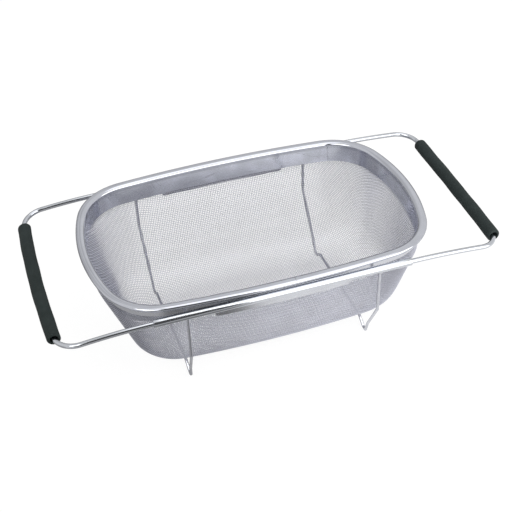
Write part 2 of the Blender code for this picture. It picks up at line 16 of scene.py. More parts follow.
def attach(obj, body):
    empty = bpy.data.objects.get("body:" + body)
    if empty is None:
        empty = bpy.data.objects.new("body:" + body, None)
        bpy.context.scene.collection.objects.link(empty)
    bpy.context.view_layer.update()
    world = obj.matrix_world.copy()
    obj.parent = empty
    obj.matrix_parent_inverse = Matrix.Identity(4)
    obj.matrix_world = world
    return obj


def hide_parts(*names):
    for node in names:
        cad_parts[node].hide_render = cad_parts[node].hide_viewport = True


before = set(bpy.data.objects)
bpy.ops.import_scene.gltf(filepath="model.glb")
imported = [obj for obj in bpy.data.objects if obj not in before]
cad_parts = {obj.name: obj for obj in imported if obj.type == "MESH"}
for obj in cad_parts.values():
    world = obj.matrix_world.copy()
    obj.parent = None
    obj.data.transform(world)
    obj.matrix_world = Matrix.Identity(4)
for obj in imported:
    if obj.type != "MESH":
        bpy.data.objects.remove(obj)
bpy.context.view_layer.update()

# Outline of the rim: an oval of tangent arcs
RIM_HALF_LENGTH = 0.1655
RIM_HALF_WIDTH = 0.1023
RIM_SIDE_RADIUS = 1.173
RIM_END_RADIUS = 0.197
RIM_CORNER_RADIUS = 0.0544

# Rim section: oval bead rolled outwards from a skirt
BEAD_HEIGHT = 0.1239
BEAD_HALF_WIDTH = 0.0045
BEAD_HALF_THICKNESS = 0.0026
BEAD_ROLL_DEGREES = 262.0
BEAD_SQUARENESS = 2.7
CREASE_DEGREES = 97.0
CREASE_SPREAD = 7.0
CREASE_DEPTH = 0.0002
SHEET_THICKNESS = 0.0004
SKIRT_DROP = 0.0198
SEAM_PLACE = 0.0100
SEAM_GAP = 0.0003
RIM_STEP = 0.0022
SKIRT_WAVE = 0.00009
HEM_WAVE = 0.00022

# Outer band and the plates below it
BAND_INSIDE = 0.0029
BAND_OUTSIDE = 0.0025
BAND_TOP_DROP = 0.0012
BAND_DROP = 0.0120
BAND_STEP = 0.0030
PLATE_HALF_LENGTH = 0.0660
PLATE_TOP_DROP = 0.0123
PLATE_DROP = 0.0243
PLATE_CORNER_RADIUS = 0.0030

# Woven basket
MESH_OUTSIDE = 0.0032
WALL_DROP = 0.0243
BASKET_UNDERSIDE = 0.0110
WEAVE_TOP = 0.1214
SIDE_TAPER_DEGREES = 20.0
SIDE_BEND_RADIUS = 0.0350
LEFT_TAPER_DEGREES = 20.0
RIGHT_TAPER_DEGREES = 13.0
END_BEND_RADIUS = 0.0400
LEFT_CORNER_RADIUS = 0.0380
RIGHT_CORNER_RADIUS = 0.0370
WIRE_PITCH = 0.0020
MESH_WIRE_RADIUS = 0.00028
MESH_WIRE_SIDES = 6
WEAVE_DEPTH = 0.00027
WEAVE_INSET = 0.00035
CLOTH_STEPS = 97
CORNER_STRETCH = 0.35
CLOTH_MARGIN = 0.004
SMOOTHING = 0.25
SMOOTHING_CLIMB = 0.030
FIT_TURNS = 20
FIT_TOLERANCE = 0.00002
NET_HALF_LENGTH = 0.255
NET_HALF_WIDTH = 0.200
STRAND_SPLIT_X = 0.075
STRAND_SPLIT_Y = 0.055

# Slide tubes
TUBE_RADIUS = 0.0039
TUBE_SIDES = 60
TUBE_WALL = 0.0004
TUBE_HALF_LENGTH = 0.1249
TUBE_HEIGHT = 0.1147
TUBE_PLACE = 0.1040
TUBE_LIP_RADIUS = 0.00018
DIMPLE_FROM_MOUTH = 0.0120
DIMPLE_RADIUS = 0.0010
DIMPLE_DEPTH = 0.0005
DIMPLE_SPREAD = 1.5
DIMPLE_MARGIN = 0.004

# Handles
ARM_RADIUS = 0.0024
ARM_SIDES = 32
ARM_HEIGHT = 0.1144
ARM_BEND_RADIUS = 0.0200
ARM_DROOP = 0.0057
TIP_LENGTH = 0.0060
TIP_HALF_HEIGHT = 0.0018
LEFT_TIP = 0.0255
RIGHT_TIP = 0.0344
LEFT_REACH = 0.2105
RIGHT_REACH = 0.2194
LEFT_BOW = 0.0040
RIGHT_BOW = 0.0010

# Grips
GRIP_RADIUS = 0.0066
GRIP_HALF_LENGTH = 0.0850
LEFT_GRIP_SHIFT = -0.0024
RIGHT_GRIP_SHIFT = -0.0055
GRIP_END_ROUNDING = 0.0018
GRIP_MOUTH_RADIUS = 0.0040
GRIP_MOUTH_DEPTH = 0.0062
GRIP_BORE_RADIUS = 0.0027
GRIP_SIDES = 48
GRIP_SOFTNESS = 0.0001
GRIP_SOFT_ABOVE = 0.0050

# Leg wires
LEG_RADIUS = 0.0015
LEG_SIDES = 24
LEG_BEND_STEPS = 12
LEG_PLACE = 0.0932
LEG_TOP_HEIGHT = 0.1105
LEG_KNEE_HEIGHT = 0.0634
LEG_BEND_PLACE = 0.0750
LEG_BEND_HEIGHT = 0.0175
FOOT_OUTER_PLACE = 0.0675
FOOT_INNER_PLACE = 0.0620
FOOT_CENTRE_HEIGHT = 0.0012
LEG_INNER_PLACE = 0.0525
LEG_UNDER_HEIGHT = 0.0092
LEG_BEND_RADIUS = 0.0060
FOOT_BEND_RADIUS = 0.0025
FRONT_FOOT_LEAN = 0.0055
REAR_FOOT_LEAN = 0.0018

# The body stands this far along X so that the whole object is centred
BODY_SHIFT = (LEFT_REACH + LEFT_BOW - RIGHT_REACH - RIGHT_BOW) / 2

# Spot welds pressed into the skirt
WELD_RADIUS = 0.0011
WELD_FLATNESS = 0.06
WELD_HEIGHT = 0.1128
WELD_SPACING = 0.0700
WELD_LIFT = 0.00008


# ---- shapes

def quarter_arcs(half_length, half_width, side_radius, end_radius, corner_radius):
    """Tangent arcs of a quarter oval, from its +X end to its +Y side, as rows of
    centre x, centre y, radius, start angle and end angle."""
    end_centre = Vector((half_length - end_radius, 0.0))
    side_centre = Vector((0.0, half_width - side_radius))
    from_end = end_radius - corner_radius
    from_side = side_radius - corner_radius
    between = side_centre - end_centre
    along = (from_end ** 2 - from_side ** 2 + between.length_squared) / (2 * between.length)
    across = sqrt(from_end ** 2 - along ** 2)
    direction = between.normalized()
    corner = end_centre + direction * along + Vector((-direction.y, direction.x)) * across
    other = end_centre + direction * along - Vector((-direction.y, direction.x)) * across
    corner = max((corner, other), key=lambda place: place.x + place.y)
    end_angle = atan2(corner.y - end_centre.y, corner.x - end_centre.x)
    side_angle = atan2(corner.y - side_centre.y, corner.x - side_centre.x)
    return [(end_centre.x, end_centre.y, end_radius, 0.0, end_angle),
            (corner.x, corner.y, corner_radius, end_angle, side_angle),
            (side_centre.x, side_centre.y, side_radius, side_angle, pi / 2)]


def rim_arcs(inset=0.0):
    return quarter_arcs(RIM_HALF_LENGTH - inset, RIM_HALF_WIDTH - inset, RIM_SIDE_RADIUS - inset,
                        RIM_END_RADIUS - inset, RIM_CORNER_RADIUS - inset)


def oval_path(spacing):
    """Places and outward normals round the rim's outline, anticlockwise from its +X end."""
    places, normals = [], []
    for x, y, radius, start, end in rim_arcs():
        steps = max(2, ceil(radius * (end - start) / spacing))
        for angle in np.linspace(start, end, steps + 1)[:-1]:
            normals.append((cos(angle), sin(angle)))
            places.append((x + radius * cos(angle), y + radius * sin(angle)))
    places.append((0.0, RIM_HALF_WIDTH))
    normals.append((0.0, 1.0))
    places, normals = np.array(places), np.array(normals)
    for mirror in ((-1, 1), (1, -1)):
        inner = slice(-2, None, -1) if mirror[0] < 0 else slice(-2, 0, -1)
        places = np.vstack([places, places[inner] * mirror])
        normals = np.vstack([normals, normals[inner] * mirror])
    return places, normals


def new_mesh(name, points, edges=(), faces=()):
    mesh = bpy.data.meshes.new(name)
    mesh.from_pydata([tuple(point) for point in points], edges, faces)
    return mesh


def ring_mesh(rings, closed):
    """A mesh through rings of points. The last ring joins the first one, or both are capped."""
    rings = np.asarray(rings)
    count, size = rings.shape[:2]
    faces = []
    for ring in range(count if closed else count - 1):
        after = (ring + 1) % count
        for index in range(size):
            beside = (index + 1) % size
            faces.append((ring * size + index, ring * size + beside,
                          after * size + beside, after * size + index))
    if not closed:
        faces += [tuple(range(size)), tuple(range((count - 1) * size, count * size))]
    mesh = new_mesh("rings", rings.reshape(-1, 3), faces=faces)
    cage = bmesh.new()
    cage.from_mesh(mesh)
    bmesh.ops.recalc_face_normals(cage, faces=cage.faces)
    cage.to_mesh(mesh)
    cage.free()
    return mesh


def new_object(name, data):
    item = bpy.data.objects.new(name, data)
    bpy.context.scene.collection.objects.link(item)
    return item


def smooth_object(name, mesh, material, sharp_degrees):
    mesh.name = name
    mesh.materials.clear()
    mesh.materials.append(material)
    mesh.shade_smooth()
    mesh.set_sharp_from_angle(angle=radians(sharp_degrees))
    return new_object(name, mesh)


def add_piece(name, mesh, material, node, body="basket_frame", sharp_degrees=40.0):
    """A piece that takes the place, the body and the finish of a node of the model."""
    piece = smooth_object(name, mesh, material, sharp_degrees)
    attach(piece, body)
    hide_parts(node)


def waviness(angle, terms):
    """Sum of sine waves round the outline; each term is a count of waves, a phase and a height."""
    return sum(height * np.sin(count * angle + phase) for count, phase, height in terms)


# ---- node trees

def add_node(tree, kind, inputs=(), **properties):
    """A node with its properties, and with its inputs set by their names or numbers."""
    node = tree.nodes.new(kind)
    for key, value in properties.items():
        setattr(node, key, value)
    for socket, content in dict(inputs).items():
        if hasattr(content, "is_output"):
            tree.links.new(content, node.inputs[socket])
        else:
            node.inputs[socket].default_value = content
    return node


def out(tree, kind, inputs=(), **properties):
    """The first output of a new node."""
    return add_node(tree, kind, inputs, **properties).outputs[0]


def calc(tree, operation, *values, clamp=False):
    """Result of a math node on numbers or sockets."""
    return out(tree, "ShaderNodeMath", dict(enumerate(values)), operation=operation,
               use_clamp=clamp)


def scaled(tree, vector, factor):
    return out(tree, "ShaderNodeVectorMath", {0: vector, "Scale": factor}, operation="SCALE")


def remap(tree, value, low, high, to_low=0.0, to_high=1.0, kind="LINEAR"):
    """A value carried over from the range low to high to another range, and held at its ends."""
    return out(tree, "ShaderNodeMapRange", {
        "Value": value, "From Min": low, "From Max": high, "To Min": to_low, "To Max": to_high},
        interpolation_type=kind)


def mask(tree, *edges):
    """Product of smooth steps; each edge is a value, where it counts as 0 and where as 1."""
    product = 1.0
    for value, zero, one in edges:
        product = calc(tree, "MULTIPLY", remap(tree, value, zero, one, kind="SMOOTHSTEP"), product)
    return product


def noise(tree, place, scale, detail, roughness=0.5, distortion=0.0):
    return add_node(tree, "ShaderNodeTexNoise", {
        "Vector": place, "Scale": scale, "Detail": detail, "Roughness": roughness,
        "Distortion": distortion}).outputs["Fac"]


def object_place(tree):
    return add_node(tree, "ShaderNodeTexCoord").outputs["Object"]


def axes(tree, vector):
    """The x, y and z of a vector."""
    return add_node(tree, "ShaderNodeSeparateXYZ", {0: vector}).outputs


def new_group(name, kind, inputs, outputs):
    """A node group: its tree, the sockets that bring its inputs and those that take its outputs."""
    tree = bpy.data.node_groups.new(name, kind)
    new_socket = tree.interface.new_socket
    for label, socket_kind, default in inputs:
        socket = new_socket(label, in_out="INPUT", socket_type="NodeSocket" + socket_kind)
        if default is not None:
            socket.default_value = default
    for label, socket_kind in outputs:
        new_socket(label, in_out="OUTPUT", socket_type="NodeSocket" + socket_kind)
    return tree, tree.nodes.new("NodeGroupInput").outputs, tree.nodes.new("NodeGroupOutput").inputs


def put_out(tree, result, **sockets):
    """Links the sockets to the outputs of their names."""
    for label, socket in sockets.items():
        tree.links.new(socket, result[label])


def shape_group(name, inputs):
    """A Geometry Nodes tree that turns a base shape into a shape of one material."""
    return new_group(name, "GeometryNodeTree", [
        ("Geometry", "Geometry", None), *inputs, ("Material", "Material", None)],
        [("Geometry", "Geometry")])


def dress(tree, source, result, shape):
    """Ends a Geometry Nodes tree with the shape as a plain mesh in its material."""
    real = out(tree, "GeometryNodeRealizeInstances", {0: shape})
    put_out(tree, result, Geometry=out(tree, "GeometryNodeSetMaterial", {
        "Geometry": real, "Material": source["Material"]}))


def sweep_wire(tree, source, result, path):
    """Ends a Geometry Nodes tree with a round wire along the path."""
    ring = out(tree, "GeometryNodeCurvePrimitiveCircle", {
        "Resolution": source["Wire sides"], "Radius": source["Wire radius"]})
    dress(tree, source, result, out(tree, "GeometryNodeCurveToMesh", {
        "Curve": path, "Profile Curve": ring, "Fill Caps": True}))


def wire_tree():
    """Geometry Nodes: a round wire swept along the edges of a path."""
    tree, source, result = shape_group("round_wire", [
        ("Wire radius", "Float", LEG_RADIUS), ("Wire sides", "Int", LEG_SIDES)])
    sweep_wire(tree, source, result, out(tree, "GeometryNodeMeshToCurve", {0: source["Geometry"]}))
    return tree


def weave_tree():
    """Geometry Nodes: the strands of one group of a net, each swept as a wire that passes
    over and under the wires it crosses."""
    tree, source, result = shape_group("woven_strands", [
        ("Strand group", "Int", 0), ("Wire radius", "Float", MESH_WIRE_RADIUS),
        ("Wire sides", "Int", MESH_WIRE_SIDES), ("Weave depth", "Float", WEAVE_DEPTH),
        ("Inset", "Float", WEAVE_INSET)])
    over = out(tree, "GeometryNodeInputNamedAttribute", {"Name": "over"}, data_type="FLOAT")
    group = out(tree, "GeometryNodeInputNamedAttribute", {"Name": "strand_group"}, data_type="INT")
    lift = calc(tree, "MULTIPLY_ADD", over, source["Weave depth"], source["Inset"])
    woven = out(tree, "GeometryNodeSetPosition", {
        "Geometry": source["Geometry"],
        "Offset": scaled(tree, out(tree, "GeometryNodeInputNormal"), lift)})
    chosen = out(tree, "FunctionNodeCompare", {2: group, 3: source["Strand group"]},
                 data_type="INT", operation="EQUAL")
    strands = out(tree, "GeometryNodeMeshToCurve", {0: woven, "Selection": chosen})
    sweep_wire(tree, source, result, strands)
    return tree


def weld_tree():
    """Geometry Nodes: a low round weld mark at each point, turned to the point's stored normal."""
    tree, source, result = shape_group("weld_marks", [
        ("Mark radius", "Float", WELD_RADIUS), ("Flatness", "Float", WELD_FLATNESS)])
    points = out(tree, "GeometryNodeMeshToPoints", {0: source["Geometry"]})
    mark = out(tree, "GeometryNodeMeshUVSphere", {
        "Segments": 16, "Rings": 8, "Radius": source["Mark radius"]})
    low = out(tree, "ShaderNodeCombineXYZ", {0: 1.0, 1: 1.0, 2: source["Flatness"]})
    flat = out(tree, "GeometryNodeTransform", {"Geometry": mark, "Scale": low})
    facing = out(tree, "GeometryNodeInputNamedAttribute", {"Name": "facing"},
                 data_type="FLOAT_VECTOR")
    turn = out(tree, "FunctionNodeAlignRotationToVector", {"Vector": facing}, axis="Z")
    dress(tree, source, result, out(tree, "GeometryNodeInstanceOnPoints", {
        "Points": points, "Instance": flat, "Rotation": turn}))
    return tree


def grown(name, mesh, tree, **values):
    """The plain mesh that a Geometry Nodes tree makes of a base mesh with these input values."""
    base = new_object(name + "_base", mesh)
    grow = base.modifiers.new("grow", "NODES")
    grow.node_group = tree
    for item in tree.interface.items_tree:
        label = item.name.lower().replace(" ", "_")
        if item.in_out == "INPUT" and label in values:
            grow[item.identifier] = values[label]
    graph = bpy.context.evaluated_depsgraph_get()
    result = bpy.data.meshes.new_from_object(base.evaluated_get(graph))
    bpy.data.objects.remove(base, do_unlink=True)
    return result


def path_mesh(points):
    return new_mesh("path", points, [(index, index + 1) for index in range(len(points) - 1)])


# ---- finishes

WHITE = (1.0, 1.0, 1.0, 1.0)
PLAIN_STEEL = (0.6, 0.6, 0.63, 1.0)
SURFACE = [("Colour", "Color"), ("Roughness", "Float"), ("Height", "Float")]
TONE = [("Colour", "Color")]


def polish_group():
    """Wear of polished steel: cloudy tone, drawn streaks and small scratches, as a colour,
    a roughness and a height."""
    tree, source, result = new_group("polished_steel_wear", "ShaderNodeTree", [
        ("Colour", "Color", PLAIN_STEEL), ("Roughness", "Float", 0.15),
        ("Cloud scale", "Float", 40.0), ("Cloud depth", "Float", 0.1),
        ("Streaks", "Vector", (60.0, 2500.0, 2500.0)), ("Scratches", "Float", 0.5)], SURFACE)
    place = object_place(tree)
    cloud = noise(tree, place, source["Cloud scale"], 3.0, 0.55)
    drawn = out(tree, "ShaderNodeMapping", {"Vector": place, "Scale": source["Streaks"]})
    streak = noise(tree, drawn, 1.0, 2.0)
    crossed = out(tree, "ShaderNodeMapping", {
        "Vector": place, "Rotation": (0.4, 0.9, 0.6), "Scale": (90.0, 1400.0, 1400.0)})
    scratch = add_node(tree, "ShaderNodeTexVoronoi", {"Vector": crossed, "Scale": 1.0},
                       feature="DISTANCE_TO_EDGE").outputs["Distance"]
    mark = calc(tree, "MULTIPLY", remap(tree, scratch, 0.0, 0.03, 1.0, 0.0), source["Scratches"])
    dimmest = calc(tree, "SUBTRACT", 1.0, source["Cloud depth"])
    rough = calc(tree, "MULTIPLY_ADD", cloud, 0.06, source["Roughness"])
    rough = calc(tree, "MULTIPLY_ADD", streak, 0.04, rough)
    put_out(tree, result,
            Colour=scaled(tree, source["Colour"], remap(tree, cloud, 0.3, 0.7, 1.0, dimmest)),
            Roughness=calc(tree, "MULTIPLY_ADD", mark, 0.10, rough, clamp=True),
            Height=calc(tree, "MULTIPLY_ADD", mark, -0.5, streak))
    return tree


def sheet_painted_reflection_group():
    """Painted reflections of a thin drawn sheet that isn't quite flat: cloudy patches, a fine wavy
    line and a lighter tone, only below a height, as a colour. The tone is kept so low that no patch
    of the rim's steel passes 1."""
    tree, source, result = new_group("uneven_sheet", "ShaderNodeTree", [
        ("Colour", "Color", PLAIN_STEEL), ("Top", "Float", BEAD_HEIGHT - 0.0015),
        ("Tone", "Float", 1.29), ("Patch depth", "Float", 0.12), ("Line depth", "Float", 0.22)],
        TONE)
    place = object_place(tree)
    below = mask(tree, (calc(tree, "SUBTRACT", source["Top"], axes(tree, place)[2]), 0.0, 0.003))
    # Painted reflection: cloudy patches that lighten and darken the skirt, on top of the tone that
    # lightens it.
    patches = noise(tree, place, 30.0, 1.0, 0.4, 0.3)
    patch = remap(tree, patches, 0.36, 0.66, -0.6, 1.6, "SMOOTHSTEP")
    cloudy = calc(tree, "MULTIPLY_ADD", patch, source["Patch depth"], source["Tone"])
    lying = out(tree, "ShaderNodeMapping", {"Vector": place, "Scale": (1.0, 1.0, 3.0)})
    # Painted reflection: a fine dark wavy line.
    on_line = calc(tree, "COMPARE", noise(tree, lying, 17.0, 3.0, 0.4, 0.8), 0.53, 0.0045)
    tone = calc(tree, "SUBTRACT", cloudy, calc(tree, "MULTIPLY", on_line, source["Line depth"]))
    limited = remap(tree, below, 0.0, 1.0, 1.0, tone)
    put_out(tree, result, Colour=scaled(tree, source["Colour"], limited))
    return tree


def woven_painted_light_group():
    """Tone of a woven wire: painted highlight on its crowns, painted shade where it dips."""
    tree, source, result = new_group("woven_crowns", "ShaderNodeTree", [
        ("Colour", "Color", PLAIN_STEEL), ("Dip", "Float", 0.62), ("Crown", "Float", 1.2)], TONE)
    over = add_node(tree, "ShaderNodeAttribute", attribute_name="over").outputs["Fac"]
    # Painted light: the crowns are brightened up to Crown and the dips darkened down to Dip.
    tone = remap(tree, calc(tree, "ABSOLUTE", over), 0.25, 0.85, source["Dip"], source["Crown"],
                 "SMOOTHSTEP")
    put_out(tree, result, Colour=scaled(tree, source["Colour"], tone))
    return tree


def foam_group():
    """Skin of closed-cell foam: fine pores, rubbed patches and dust, as a colour, a roughness
    and a height."""
    tree, source, result = new_group("foam_skin", "ShaderNodeTree", [
        ("Colour", "Color", (0.02, 0.027, 0.027, 1.0)), ("Pore scale", "Float", 1800.0),
        ("Wear", "Float", 0.5)], SURFACE)
    place = object_place(tree)
    pores = add_node(tree, "ShaderNodeTexVoronoi", {
        "Vector": place, "Scale": source["Pore scale"]}).outputs["Distance"]
    grain = noise(tree, place, 900.0, 4.0, 0.6)
    patch = remap(tree, noise(tree, place, 55.0, 3.0), 0.42, 0.72, 0.0, source["Wear"])
    rubbed = add_node(tree, "ShaderNodeMix", {
        0: patch, 6: source["Colour"], 7: scaled(tree, source["Colour"], 1.5)},
        data_type="RGBA").outputs[2]
    put_out(tree, result,
            Colour=scaled(tree, rubbed, remap(tree, grain, 0.35, 0.7, 0.8, 1.25)),
            Roughness=remap(tree, patch, 0.0, 1.0, 0.82, 0.62),
            Height=calc(tree, "MULTIPLY_ADD", pores, 0.6, grain))
    return tree


def new_material(name):
    """An empty material and its tree."""
    material = bpy.data.materials.new(name)
    material.use_nodes = True
    material.node_tree.nodes.clear()
    return material, material.node_tree


def finish(name, wear, values, bump_strength, relief, shader_values, extra=None):
    """A material whose colour, roughness and relief come from a wear group; extra is a group
    that changes the colour, and relief is a height in metres."""
    material, tree = new_material(name)
    group = add_node(tree, "ShaderNodeGroup", values, node_tree=wear)
    colour = group.outputs["Colour"]
    if extra:
        colour = out(tree, "ShaderNodeGroup", {"Colour": colour}, node_tree=extra)
    bump = out(tree, "ShaderNodeBump", {
        "Strength": bump_strength, "Distance": relief, "Height": group.outputs["Height"]})
    shader = out(tree, "ShaderNodeBsdfPrincipled", {
        "Base Color": colour, "Roughness": group.outputs["Roughness"], "Normal": bump,
        **shader_values})
    add_node(tree, "ShaderNodeOutputMaterial", {"Surface": shader})
    return material


def steel(name, colour, roughness, cloud_scale, cloud_depth, streaks, scratches, relief,
          extra=None):
    return finish(name, polish, {
        "Colour": (*colour, 1.0), "Roughness": roughness, "Cloud scale": cloud_scale,
        "Cloud depth": cloud_depth, "Streaks": streaks, "Scratches": scratches},
        0.25, relief, {"Metallic": 1.0}, extra)


polish = polish_group()
ALONG_X = (60.0, 2600.0, 2600.0)
ALONG_Z = (2600.0, 2600.0, 60.0)
EVEN = (900.0, 900.0, 900.0)
# The rim's steel is lightened below the bead and carries painted reflections there.
rim_steel = steel("rim_steel", (0.605, 0.62, 0.675), 0.03, 38.0, 0.10, EVEN, 0.4, 0.00002,
                  sheet_painted_reflection_group())
tube_steel = steel("tube_steel", (0.63, 0.65, 0.69), 0.03, 60.0, 0.06, ALONG_X, 0.5, 0.00002)
leg_steel = steel("leg_steel", (0.59, 0.60, 0.65), 0.16, 80.0, 0.12, ALONG_Z, 0.5, 0.00003)
handle_steel = steel("handle_steel", (0.60, 0.62, 0.66), 0.05, 60.0, 0.08, ALONG_X, 0.5, 0.00002)
band_steel = steel("band_steel", (0.66, 0.67, 0.71), 0.18, 50.0, 0.08, EVEN, 0.4, 0.00002)
# The mesh's steel carries a painted highlight on the weave's crowns and painted shade in its dips.
mesh_steel = steel("mesh_steel", (0.615, 0.622, 0.695), 0.33, 30.0, 0.10, EVEN, 0.2, 0.00001,
                   woven_painted_light_group())
core_steel = steel("core_steel", (0.56, 0.57, 0.60), 0.25, 80.0, 0.15, EVEN, 0.5, 0.00003)
grip_foam = finish("grip_foam", foam_group(), {"Colour": (0.0125, 0.0195, 0.0188, 1.0)},
                   0.5, 0.00012, {"Specular IOR Level": 0.35})


# ---- rim, band and plates

def swept_level(places, normals, section, height):
    """Rows of points of a section swept round a level path; the section's x points outwards."""
    section = np.asarray(section)
    rows = np.zeros((len(places), len(section), 3))
    rows[:, :, 0] = places[:, :1] + normals[:, :1] * section[None, :, 0] + BODY_SHIFT
    rows[:, :, 1] = places[:, 1:] + normals[:, 1:] * section[None, :, 0]
    rows[:, :, 2] = section[None, :, 1] + height
    return rows


def squared(value, power):
    return copysign(abs(value) ** (2 / power), value)


def bead_section(roll_steps=54, skirt_steps=10):
    """Skirt and rolled bead in one sheet: its inner face up, round and under, and back. The
    bead is squarer outside, and a fine crease runs along its top."""
    half_sheet = SHEET_THICKNESS / 2
    long_axis = BEAD_HALF_WIDTH - half_sheet
    short_axis = BEAD_HALF_THICKNESS - half_sheet
    faces = []
    for side in (1, -1):
        offset = side * half_sheet
        face = [(-long_axis - offset, -SKIRT_DROP * (1 - step / skirt_steps))
                for step in range(skirt_steps)]
        for step in range(roll_steps + 1):
            angle = radians(BEAD_ROLL_DEGREES) * step / roll_steps
            across, up = cos(angle), sin(angle)
            normal = Vector((-across / long_axis, up / short_axis)).normalized()
            power = BEAD_SQUARENESS if across < 0 and up > 0 else 2.0
            past = abs(degrees(angle) - CREASE_DEGREES) / CREASE_SPREAD
            crease = CREASE_DEPTH * max(0.0, 1 - past)
            face.append((-long_axis * squared(across, power) + normal.x * offset,
                         short_axis * squared(up, power) + normal.y * offset - crease))
        faces.append(face)
    return faces[0] + faces[1][::-1]


def make_rim():
    """The rim sheet, open at its seam in front, with a slightly uneven skirt."""
    places, normals = oval_path(RIM_STEP)
    front = (places[:, 1] < 0.0) & (np.abs(places[:, 0]) < RIM_HALF_LENGTH / 2)
    order = np.arange(len(places))
    first = order[front & (places[:, 0] > SEAM_PLACE + SEAM_GAP)]
    first = first[np.argmin(places[first, 0])]
    around = np.roll(order, -first)
    last = around[places[around, 0] < SEAM_PLACE - SEAM_GAP]
    around = around[:np.where(around == last[-1])[0][0] + 1]
    ends = []
    for x in (SEAM_PLACE + SEAM_GAP / 2, SEAM_PLACE - SEAM_GAP / 2):
        sweep = asin(x / RIM_SIDE_RADIUS)
        normal = (sin(sweep), -cos(sweep))
        centre = RIM_SIDE_RADIUS - RIM_HALF_WIDTH
        ends.append(((normal[0] * RIM_SIDE_RADIUS, normal[1] * RIM_SIDE_RADIUS + centre), normal))
    path = np.vstack([[ends[0][0]], places[around], [ends[1][0]]])
    facing = np.vstack([[ends[0][1]], normals[around], [ends[1][1]]])
    section = np.array(bead_section())
    rows = swept_level(path, facing, section, BEAD_HEIGHT)
    bearing = np.arctan2(path[:, 1] * 1.6, path[:, 0])
    uneven = waviness(bearing, ((9, 0.4, 0.5), (14, 1.9, 0.3), (23, 4.1, 0.2)))
    ripple = waviness(bearing, ((17, 2.2, 0.5), (31, 0.7, 0.3), (5, 5.0, 0.4)))
    depth = np.clip(-section[:, 1] / SKIRT_DROP, 0.0, 1.0)
    inwards = (uneven[:, None] + 1.0) * SKIRT_WAVE * np.sin(depth * pi * 0.7)[None, :]
    rows[:, :, :2] -= facing[:, None, :] * inwards[:, :, None]
    rows[:, :, 2] += (ripple[:, None] + 0.6) * HEM_WAVE * (depth ** 3)[None, :]
    add_piece("rolled_rim", ring_mesh(rows, False), rim_steel, "rim_band", sharp_degrees=50.0)


def make_band():
    places, normals = oval_path(BAND_STEP)
    round_off = SHEET_THICKNESS / 4
    section = [(-BAND_OUTSIDE, -BAND_TOP_DROP - round_off), (-BAND_OUTSIDE, -BAND_DROP + round_off),
               (-BAND_OUTSIDE - round_off, -BAND_DROP), (-BAND_INSIDE + round_off, -BAND_DROP),
               (-BAND_INSIDE, -BAND_DROP + round_off), (-BAND_INSIDE, -BAND_TOP_DROP - round_off),
               (-BAND_INSIDE + round_off, -BAND_TOP_DROP),
               (-BAND_OUTSIDE - round_off, -BAND_TOP_DROP)]
    rows = swept_level(places, normals, section, BEAD_HEIGHT)
    add_piece("clamping_band", ring_mesh(rows, True), band_steel, "rim_outer_band")


def make_plate(name, node, side):
    """A curved plate below the band with rounded lower corners."""
    edge = PLATE_HALF_LENGTH - PLATE_CORNER_RADIUS
    corner = [edge + PLATE_CORNER_RADIUS * sin(radians(turn))
              for turn in range(0, 91, 10)]
    straight = list(np.linspace(-edge, edge, 61)[1:-1])
    stations = [-place for place in corner[::-1]] + straight + corner
    rows = []
    for station in stations:
        past = max(0.0, abs(station) - edge)
        rise = PLATE_CORNER_RADIUS - sqrt(max(0.0, PLATE_CORNER_RADIUS ** 2 - past ** 2))
        sweep = station / RIM_SIDE_RADIUS
        row = []
        for inset, drop in ((BAND_OUTSIDE, PLATE_TOP_DROP), (BAND_OUTSIDE, PLATE_DROP - rise),
                            (BAND_INSIDE, PLATE_DROP - rise), (BAND_INSIDE, PLATE_TOP_DROP)):
            radius = RIM_SIDE_RADIUS - inset
            row.append((radius * sin(sweep) + BODY_SHIFT,
                        side * (radius * cos(sweep) + RIM_HALF_WIDTH - RIM_SIDE_RADIUS),
                        BEAD_HEIGHT - drop))
        rows.append(row)
    add_piece(name, ring_mesh(rows, False), band_steel, node)


def make_welds():
    """Small round weld marks on the inner face of the skirt."""
    places, normals = oval_path(WELD_SPACING)
    inset = BEAD_HALF_WIDTH + WELD_LIFT
    points = np.zeros((len(places), 3))
    points[:, :2] = places - normals * inset
    points[:, 0] += BODY_SHIFT
    points[:, 2] = WELD_HEIGHT
    mesh = new_mesh("weld_places", points)
    facing = mesh.attributes.new("facing", "FLOAT_VECTOR", "POINT")
    facing.data.foreach_set("vector", np.column_stack([-normals, np.zeros(len(normals))]).ravel())
    marks = grown("weld_marks", mesh, weld_tree(), mark_radius=WELD_RADIUS, material=rim_steel)
    piece = smooth_object("weld_marks", marks, rim_steel, 40.0)
    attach(piece, "basket_frame")


# ---- woven basket

def wall_inset(height, taper_degrees, bend_radius):
    """How far the basket's outer face lies inside the rim's outline at a height."""
    taper = radians(taper_degrees)
    bend_top = BASKET_UNDERSIDE + bend_radius * (1 - sin(taper))
    wall_top = BEAD_HEIGHT - WALL_DROP
    if height >= wall_top:
        return MESH_OUTSIDE
    if height >= bend_top:
        return MESH_OUTSIDE + tan(taper) * (wall_top - height)
    at_bend = MESH_OUTSIDE + tan(taper) * (wall_top - bend_top)
    bend = asin(min(1.0, (BASKET_UNDERSIDE + bend_radius - height) / bend_radius))
    return at_bend + bend_radius * (cos(taper) - cos(bend))


def basket_arcs(height, taper_degrees, bottom_corner):
    side = wall_inset(height, SIDE_TAPER_DEGREES, SIDE_BEND_RADIUS)
    end = wall_inset(height, taper_degrees, END_BEND_RADIUS)
    wall_top = BEAD_HEIGHT - WALL_DROP
    share = min(1.0, max(0.0, (wall_top - height) / (wall_top - BASKET_UNDERSIDE)))
    top_corner = RIM_CORNER_RADIUS - MESH_OUTSIDE
    corner = top_corner + (bottom_corner - top_corner) * share
    return quarter_arcs(RIM_HALF_LENGTH - end, RIM_HALF_WIDTH - side, RIM_SIDE_RADIUS - side,
                        RIM_END_RADIUS - end, corner)


